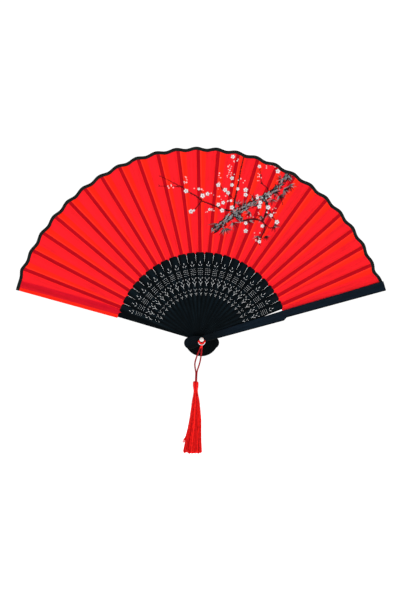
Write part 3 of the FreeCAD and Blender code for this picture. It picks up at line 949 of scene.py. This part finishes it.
def add_skirt(material):
    """Straight strands that hang from the neck; each turns at the bottom and goes up again."""
    rng = np.random.default_rng(5)
    tubes, tones = [], []
    down = np.linspace(0, 1, 15)
    top, low = SKIRT_SECTIONS[0][0], SKIRT_SECTIONS[-1][0]
    for _ in range(STRANDS):
        angle = rng.uniform(0, 2 * math.pi)
        out = rng.uniform(0, 1) ** 0.4 * 0.94
        end = low - 0.3 + rng.uniform(0, 1) * 2.6
        phase, sway = rng.uniform(0, 7), rng.uniform(0.05, 0.25)
        turn = rng.uniform(-0.9, 0.9)
        half = rng.uniform(0.6, 0.95)
        legs = []
        for side in (-1, 1):
            heights = top + (end + 0.8 * (side > 0) - top) * down
            centre, wide, deep = skirt_at(heights)
            spread = side * half * smooth(0.1, 0.9, down)
            sway_x = sway * np.sin(phase + 5 * down)
            sway_y = sway * down * np.cos(phase + 4 * down)
            x = centre + wide * out * math.cos(angle) + sway_x + spread * math.cos(turn)
            y = deep * out * math.sin(angle) + sway_y + spread * math.sin(turn)
            legs.append(np.stack([np.clip(x, SKIRT_LEFT, SKIRT_RIGHT), y, heights], axis=1))
        middle, reach = (legs[0][-1] + legs[1][-1]) / 2, (legs[1][-1] - legs[0][-1]) / 2
        bend = [
            middle - reach * math.cos(a) - (0, 0, 0.9 * math.sin(a))
            for a in (0.55, 1.1, 1.57, 2.04, 2.6)
        ]
        path = np.concatenate([legs[0], bend, legs[1][::-1]]) * MM + (0, RING_Y, 0)
        tubes.append(tube(path, STRAND_R * rng.uniform(0.9, 1.2), 6))
        tones.append(rng.uniform(-1, 1))
    tubes.append(strand(CURL, 6))
    tones.append(0.0)
    skirt = join_tubes("tassel_threads", tubes, material, tones)
    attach(skirt, "tassel")
    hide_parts("tassel_skirt")


def add_cap(material):
    """The cap: threads folded over the end of the cord, in a lobe on each side of it, and the
    last stretch of both strands inside it."""
    rng = np.random.default_rng(9)
    low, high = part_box("tassel_cap")
    middle = (low.x + high.x) / 2 / MM
    tubes, tones = [], []
    for i in range(CAP_STRANDS):
        angle = 2 * math.pi * (i + 0.5) / CAP_STRANDS
        sink = 0.9 * (1 - abs(math.cos(angle))) + 0.5 * max(math.cos(angle), 0)
        path = []
        for j, (out, z) in enumerate(CAP_PROFILE):
            near_top = max(0.0, 1 - j / 5)
            x, y = polar(out + 0.1 * rng.uniform(-1, 1), angle)
            path.append((middle + x, y, z - sink * near_top, 0.46))
        tubes.append(strand(path, 8))
        # Painted shade: the strands that sink into the groove get the darkest tone.
        tones.append(-1.2 if abs(math.cos(angle)) < 0.3 else rng.uniform(-0.8, 1))
    for name in CORD_ROUTES:
        x, y, z = CORD_ROUTES[name][-1]
        radius = CORD_DIAMETER / 2 / MM
        inside = ((1.0, 0.2), (0.7, -1.2), (0.3, -3.0))
        tubes.append(strand([(x, y * share, z + rise, radius) for share, rise in inside]))
        tones.append(-1.0)
    cap = join_tubes("tassel_cap_threads", tubes, material, tones)
    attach(cap, "tassel")
    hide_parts("tassel_cap")


def add_neck(material):
    """The neck: the same threads pulled together, over a core, with a thin thread wound round them."""
    rng = np.random.default_rng(10)
    low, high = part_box("tassel_binding")
    middle = (low.x + high.x) / 2 / MM
    bottom, top = low.z / MM, high.z / MM
    half_way = (top + bottom) / 2
    core = ((top + 1.5, 1.6), (half_way, 1.6), (bottom, 1.5))
    tubes = [strand([(middle, 0, z, r) for z, r in core], 20)]
    tones = [-0.3]
    bundle = ((top + 0.8, 1.75, 0.0), (half_way, 1.6, 0.15), (bottom - 0.6, 1.55, 0.3))
    for i in range(NECK_STRANDS):
        angle = 2 * math.pi * i / NECK_STRANDS
        path = []
        for z, r, twist in bundle:
            x, y = polar(r, angle + twist)
            path.append((middle + x, y, z, 0.4))
        tubes.append(strand(path, 6))
        tones.append(rng.uniform(-1, 1))
    wound = [
        (middle + 1.95 * math.cos(a), 1.95 * math.sin(a), half_way - 1.2 - 0.22 * a / math.pi)
        for a in np.linspace(0, NECK_TURNS * 2 * math.pi, 60)
    ]
    tubes.append(tube(np.array(wound) * MM + (0, RING_Y, 0), 0.2 * MM, 8, aside=(0.0, 0.0, 1.0)))
    tones.append(0.2)
    neck = join_tubes("tassel_neck_threads", tubes, material, tones)
    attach(neck, "tassel")
    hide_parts("tassel_binding")


def add_knot(material):
    """The knot on the ring: two fat lobes that lie across the ring's sides and turn with it, and
    the crossed strands that come down behind its lower edge."""
    ring_low, ring_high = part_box("tassel_ring")
    middle = (ring_low.z + ring_high.z) / 2 / MM
    loops = []
    for side in (-1, 1):
        loops.append(strand([
            (side * 0.15, 0.9, middle - 2.4, 0.5), (side * 0.3, 0.0, middle - 2.2, 0.65),
            (side * 0.75, -1.0, middle - 1.75, 0.75), (side * 1.9, -1.25, middle - 0.9, 0.8),
            (side * 3.0, -1.1, middle - 0.1, 0.8), (side * 3.1, -0.5, middle + 0.75, 0.7),
            (side * 2.4, 0.2, middle + 1.0, 0.6), (side * 2.1, 0.8, middle + 0.2, 0.5),
        ]))
    lobes = join_tubes("knot_lobes", loops, material, [0.9, 0.7])
    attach(lobes, "ring")
    bottom = ring_low.z / MM
    left_x, left_y, left_z = CORD_ROUTES["cord_left"][0]
    right_x, right_y, right_z = CORD_ROUTES["cord_right"][0]
    crossed = [
        strand([
            (0.4, 1.0, bottom + 1.2, 0.5), (0.5, 0.75, bottom - 0.1, 0.6), (0.35, 0.0, bottom - 0.9, 0.75),
            (left_x + 0.75, left_y - 0.3, left_z + 1.3, 0.76), (left_x, left_y, left_z, 0.75),
        ]),
        strand([
            (-0.4, 1.0, bottom + 1.2, 0.5), (-0.4, 0.8, bottom - 0.2, 0.6), (-0.3, 0.5, bottom - 1.1, 0.75),
            (right_x - 0.1, right_y + 0.4, right_z + 1.3, 0.76), (right_x, right_y, right_z, 0.75),
        ]),
    ]
    knot = join_tubes("knot_strands", crossed, material, [0.8, 0.2])
    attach(knot, "hitch")
    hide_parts("cord_hitch")


# ---- the CAD pieces that stay

def dress(name, material):
    """Gives a CAD piece its material."""
    node = frame["nodes"][name]
    node.data.materials.clear()
    node.data.materials.append(material)
    return node


def soften(node):
    """Rounds a CAD piece's sharp edges a little."""
    bevel = node.modifiers.new("soft_edges", "BEVEL")
    bevel.width = EDGE_BEVEL
    bevel.segments = 2
    bevel.limit_method = "ANGLE"
    bevel.angle_limit = math.radians(50)


def dress_cad():
    stick = lacquer_material("lacquer_stick", LACQUER, 0.8)
    for k in range(1, STEPS):
        node = dress(f"stick_{k:02d}", stick)
        node["stick_angle"] = FIRST + k * PITCH - math.pi / 2
        soften(node)
    front = lacquer_material("lacquer_guard_front", LACQUER_GUARD, 0.0, dark_edge=True)
    rear = lacquer_material("lacquer_guard_rear", LACQUER, 0.0)
    for name, k, guard in (("guard_rear", 0, rear), ("guard_front", STEPS, front)):
        node = dress(name, guard)
        node["stick_angle"] = FIRST + k * PITCH + GUARD_LEAD - math.pi / 2
    steel = steel_material()
    for name in ("rivet_pin", "washer_front", "tassel_ring"):
        dress(name, steel)
    dress("rivet_pearl", pearl_material())


add_camera()
cord_thread = thread_material("thread_cord", CORD_DEEP, CORD_BRIGHT, 900.0)
add_cord("cord_left", "tassel_cord_left", cord_thread)
add_cord("cord_right", "tassel_cord_right", cord_thread)
add_light()
add_floor()
leaf = add_leaf()
tape = add_binding()
thread = thread_material("thread_tassel", TASSEL_DEEP, TASSEL_BRIGHT, 500.0)
add_skirt(thread)
add_cap(thread)
add_neck(thread)
add_knot(thread)
dress_cad()
